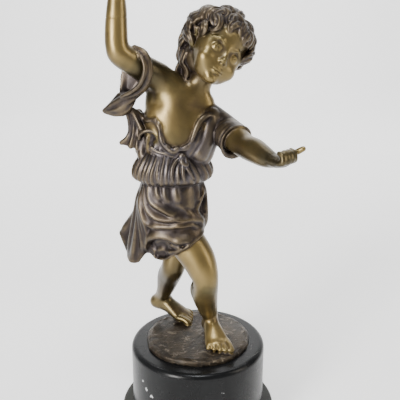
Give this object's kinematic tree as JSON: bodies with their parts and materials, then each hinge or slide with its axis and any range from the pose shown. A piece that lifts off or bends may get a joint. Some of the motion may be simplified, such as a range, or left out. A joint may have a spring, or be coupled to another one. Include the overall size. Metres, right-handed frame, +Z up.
{
  "type": "bronze cherub sculpture",
  "caption": "Small bronze of a running child in a short draped tunic, one arm raised, on a round black marble drum and foot.",
  "frame": {"origin": "centre of the foot's flat underside", "axes": "+Z up, -Y towards the viewer of the figure's front, +X to the child's left, where the open hand points"},
  "size_m": [0.2232, 0.2185, 0.5983],
  "materials": {
    "patinated_bronze": "cast bronze, satin brown and gold patina with dark recesses",
    "black_marble": null,
    "dark_green_marble": null
  },
  "bodies": {
    "root": {"bronze_figure": "patinated_bronze", "marble_drum": "black_marble", "marble_foot": "dark_green_marble"}
  },
  "joints": []
}
